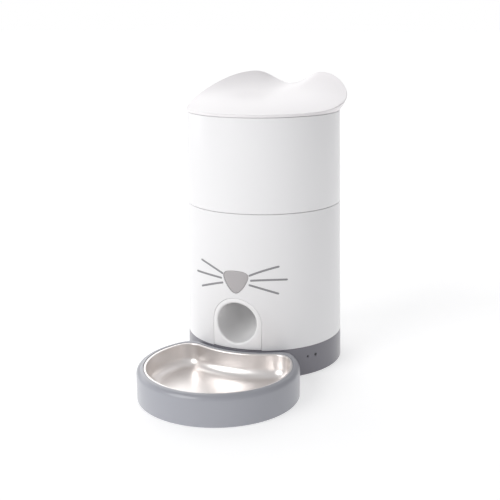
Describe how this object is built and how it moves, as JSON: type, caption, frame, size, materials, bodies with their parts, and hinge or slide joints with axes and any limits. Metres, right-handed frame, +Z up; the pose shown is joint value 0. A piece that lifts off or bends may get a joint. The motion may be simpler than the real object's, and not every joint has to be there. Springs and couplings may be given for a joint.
{
  "type": "automatic pet feeder",
  "caption": "Round automatic pet feeder with a cat-ear lid, nose button, geared portion wheel, front chute and a steel dish in a docked tray.",
  "frame": {"origin": "centre of the whole footprint on the floor", "axes": "+Z up; -Y the front, where the dish is; +X to the right as seen from the front"},
  "size_m": [0.1906, 0.3346, 0.3418],
  "materials": {
    "gloss_white": "smooth, soft sheen",
    "base_grey": "fine satin",
    "tray_blue_grey": "fine satin",
    "steel": "satin spun",
    "nose_grey": "satin",
    "whisker_grey": "satin print",
    "inner_white": "satin",
    "tank_clear": "smoky, smooth",
    "wheel_blue": "satin",
    "soft_blue": "silicone",
    "seal_grey": "silicone",
    "gear_ivory": "acetal, satin",
    "dark_plastic": "satin",
    "rubber_black": "matt",
    "board_green": "solder mask",
    "zinc": "plated",
    "bronze": "sintered",
    "brass": "machined",
    "motor_steel": "plated can",
    "cell_wrap": "plain sleeve",
    "pack_paper": "non-woven"
  },
  "bodies": {
    "housing": {"base_shell": "base_grey", "floor_plate": "base_grey", "base_feet": "rubber_black", "floor_screws": "zinc", "battery_box": "dark_plastic", "battery_cells": "cell_wrap", "battery_contacts": "zinc", "power_socket": "zinc", "status_lens": "dark_plastic", "indicator_board": "board_green", "body_shell": "gloss_white", "whiskers": "whisker_grey", "drop_tube": "inner_white", "food_sensor": "dark_plastic", "nose_board": "board_green", "nose_switch": "dark_plastic", "metering_cup": "inner_white", "deck_screws": "zinc", "shaft_bush": "bronze", "cup_cover": "inner_white", "slot_sensor": "dark_plastic", "idler_axle": "zinc", "gear_motor": "motor_steel", "gearbox_case": "inner_white", "gearbox_screws": "zinc", "main_board": "board_green", "board_bracket": "inner_white", "wireless_module": "zinc", "buzzer": "dark_plastic"},
    "rotor": {"portion_wheel": "wheel_blue", "drive_shaft": "zinc", "agitator": "soft_blue", "output_gear": "gear_ivory", "slotted_disc": "dark_plastic"},
    "idler": {"idler_gear": "gear_ivory"},
    "motor_spindle": {"motor_pinion": "brass", "motor_shaft": "zinc"},
    "nose": {"nose_button": "nose_grey"},
    "reset": {"reset_button": "dark_plastic"},
    "chute": {"chute_panel": "gloss_white", "chute_scoop": "gloss_white"},
    "battery_hatch": {"battery_door": "base_grey"},
    "hopper": {"upper_shell": "gloss_white", "hopper_tank": "tank_clear", "mouth_seal": "seal_grey"},
    "lid": {"ear_lid": "gloss_white", "lid_plug": "inner_white", "lid_seal": "seal_grey", "desiccant_box": "inner_white", "desiccant_pack": "pack_paper"},
    "cap": {"desiccant_cap": "inner_white"},
    "tray": {"bowl_tray": "tray_blue_grey", "tray_feet": "rubber_black"},
    "dish": {"food_dish": "steel"}
  },
  "joints": [
    {"name": "hopper_lift", "type": "slide", "parent": "housing", "child": "hopper", "axis": [0, 0, 1], "range_m": [0, 0.06]},
    {"name": "lid_lift", "type": "slide", "parent": "hopper", "child": "lid", "axis": [0, 0, 1], "range_m": [0, 0.08]},
    {"name": "desiccant_twist", "type": "hinge", "parent": "lid", "child": "cap", "pos_m": [0, 0.06825, 0.28], "axis": [0, 0, 1], "range_deg": [0, 30]},
    {"name": "wheel_spin", "type": "hinge", "parent": "housing", "child": "rotor", "pos_m": [0, 0.06825, 0.14], "axis": [0, 0, 1], "continuous": true},
    {"name": "idler_spin", "type": "hinge", "parent": "housing", "child": "idler", "pos_m": [0, 0.09225, 0.12], "axis": [0, 0, 1], "continuous": true},
    {"name": "motor_spin", "type": "hinge", "parent": "housing", "child": "motor_spindle", "pos_m": [0.024, 0.09225, 0.118], "axis": [0, 0, 1], "continuous": true},
    {"name": "nose_press", "type": "slide", "parent": "housing", "child": "nose", "axis": [0, 1, 0], "range_m": [0, 0.0012], "stiffness_N_per_m": 600},
    {"name": "reset_press", "type": "slide", "parent": "housing", "child": "reset", "axis": [-0.8007, 0.599, 0], "range_m": [0, 0.0006], "stiffness_N_per_m": 300},
    {"name": "chute_pull", "type": "slide", "parent": "housing", "child": "chute", "axis": [0, -1, 0], "range_m": [0, 0.06]},
    {"name": "tray_undock", "type": "slide", "parent": "housing", "child": "tray", "axis": [0, -1, 0], "range_m": [0, 0.06]},
    {"name": "dish_lift", "type": "slide", "parent": "tray", "child": "dish", "axis": [0, 0, 1], "range_m": [0, 0.05]},
    {"name": "battery_door_slide", "type": "slide", "parent": "housing", "child": "battery_hatch", "axis": [0, -1, 0], "range_m": [0, 0.06]}
  ],
  "couplings": [
    {"joint": "idler_spin", "follows": "wheel_spin", "ratio": -3},
    {"joint": "motor_spin", "follows": "wheel_spin", "ratio": 9}
  ]
}
